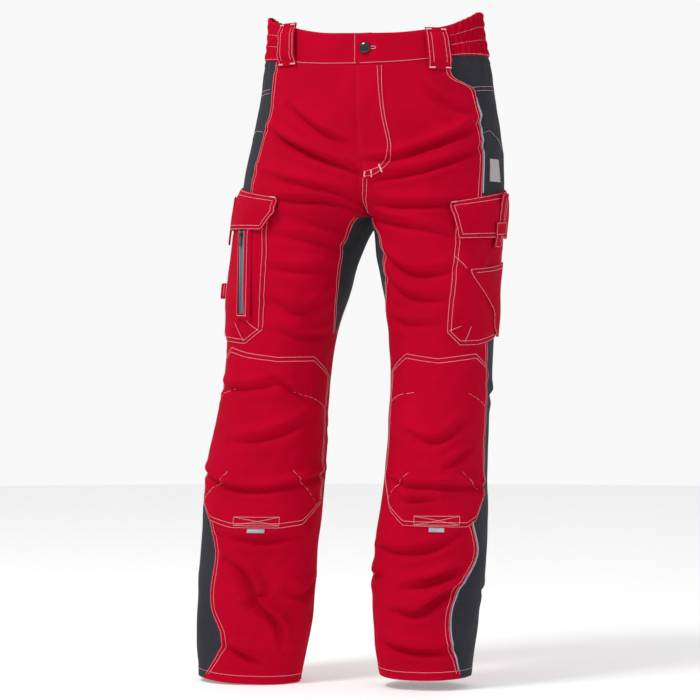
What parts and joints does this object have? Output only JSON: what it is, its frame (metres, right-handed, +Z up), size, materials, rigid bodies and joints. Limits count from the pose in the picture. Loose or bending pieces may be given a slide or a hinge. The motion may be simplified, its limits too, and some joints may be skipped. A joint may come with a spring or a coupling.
{
  "type": "work trousers",
  "caption": "Men's work trousers with contrast side panels, cargo pockets under flaps, a zip fly, wide belt loops and padded-knee pockets; knees bend, flaps lift, zips slide.",
  "frame": {"origin": "The middle of the waist opening, level with the upper part of the waistband, where the wearer's waist or a hanger holds the trousers.", "axes": "+X is the wearer's left, -Y is the front and +Z is up. The legs hang along -Z."},
  "size_m": [0.5149, 0.2677, 1.046],
  "materials": {
    "red_twill": "heavy cotton and polyester twill, matt",
    "grey_twill": "heavy dark grey twill, matt",
    "pocket_lining": "plain woven lining",
    "hook_and_loop": "hook-and-loop tape",
    "zip_tape": "woven tape with moulded teeth",
    "zip_metal": "grey lacquered zinc",
    "button_black": "glossy black lacquer",
    "button_tack": "bare steel"
  },
  "bodies": {
    "trousers": {"back_panel_left": "red_twill", "back_panel_right": "red_twill", "back_pocket_left": "red_twill", "back_pocket_right": "red_twill", "belt_loop_back_centre": "red_twill", "belt_loop_back_left": "red_twill", "belt_loop_back_right": "red_twill", "belt_loop_front_left": "red_twill", "belt_loop_front_right": "red_twill", "cargo_pocket_left": "red_twill", "cargo_pocket_right": "red_twill", "cargo_zip_tape_left": "zip_tape", "cargo_zip_tape_right": "zip_tape", "flap_loop_left": "hook_and_loop", "flap_loop_right": "hook_and_loop", "fly_placket": "red_twill", "fly_shield": "pocket_lining", "fly_zip_tape_left": "zip_tape", "fly_zip_tape_right": "zip_tape", "front_panel_left": "red_twill", "front_panel_right": "red_twill", "gusset_left": "grey_twill", "gusset_right": "grey_twill", "hand_pocket_bag_left": "pocket_lining", "hand_pocket_bag_right": "pocket_lining", "knee_back_left": "red_twill", "knee_back_right": "red_twill", "knee_front_left": "red_twill", "knee_front_right": "red_twill", "knee_pocket_left": "red_twill", "knee_pocket_right": "red_twill", "label_patch": "grey_twill", "phone_pocket": "red_twill", "side_panel_left": "grey_twill", "side_panel_right": "grey_twill", "side_tab": "grey_twill", "waist_button_tack": "button_tack", "waistband_back_left": "red_twill", "waistband_back_right": "red_twill", "waistband_elastic_left": "red_twill", "waistband_elastic_right": "red_twill", "waistband_front_left": "red_twill", "waistband_front_right": "red_twill"},
    "lower_leg_right": {"shin_panel_right": "red_twill", "lower_side_panel_right": "grey_twill", "calf_panel_right": "red_twill"},
    "lower_leg_left": {"shin_panel_left": "red_twill", "lower_side_panel_left": "grey_twill", "calf_panel_left": "red_twill"},
    "flap_right": {"cargo_flap_right": "red_twill", "flap_hook_right": "hook_and_loop", "pen_strap": "grey_twill"},
    "flap_left": {"cargo_flap_left": "red_twill", "flap_hook_left": "hook_and_loop", "flap_strap": "grey_twill"},
    "cargo_slider": {"cargo_zip_slider": "zip_metal"},
    "cargo_puller": {"cargo_zip_puller": "zip_metal"},
    "fly_slider": {"fly_zip_slider": "zip_metal", "fly_zip_puller": "zip_metal"},
    "waist_button": {"waist_button_cap": "button_black"}
  },
  "joints": [
    {"name": "knee_right", "type": "hinge", "parent": "trousers", "child": "lower_leg_right", "pos_m": [-0.1741, 0.005, -0.65], "axis": [1, 0, 0], "range_deg": [0, 90], "deforming": ["knee_front_right", "knee_back_right", "knee_pocket_right"]},
    {"name": "knee_left", "type": "hinge", "parent": "trousers", "child": "lower_leg_left", "pos_m": [0.1031, 0.005, -0.65], "axis": [1, 0, 0], "range_deg": [0, 90], "deforming": ["knee_front_left", "knee_back_left", "knee_pocket_left"]},
    {"name": "flap_right_lift", "type": "hinge", "parent": "trousers", "child": "flap_right", "pos_m": [-0.20098, -0.05719, -0.253], "axis": [-0.5684, 0.8053, 0.1685], "range_deg": [0, 115]},
    {"name": "flap_left_lift", "type": "hinge", "parent": "trousers", "child": "flap_left", "pos_m": [0.19744, -0.03938, -0.2635], "axis": [-0.4252, -0.8908, -0.1604], "range_deg": [0, 115]},
    {"name": "cargo_zip_slide", "type": "slide", "parent": "trousers", "child": "cargo_slider", "axis": [-0.004, 0.0023, -1], "range_m": [0, 0.118]},
    {"name": "cargo_puller_swing", "type": "hinge", "parent": "cargo_slider", "child": "cargo_puller", "pos_m": [-0.19364, -0.10407, -0.3222], "axis": [-0.8181, 0.5751, 0.0046], "range_deg": [0, 160]},
    {"name": "fly_zip_slide", "type": "slide", "parent": "trousers", "child": "fly_slider", "axis": [0, -0.0135, -0.9999], "range_m": [0, 0.135]},
    {"name": "waist_button_turn", "type": "hinge", "parent": "trousers", "child": "waist_button", "pos_m": [0.0109, -0.111, -0.037], "axis": [0.0217, -0.9951, 0.0967], "continuous": true}
  ]
}
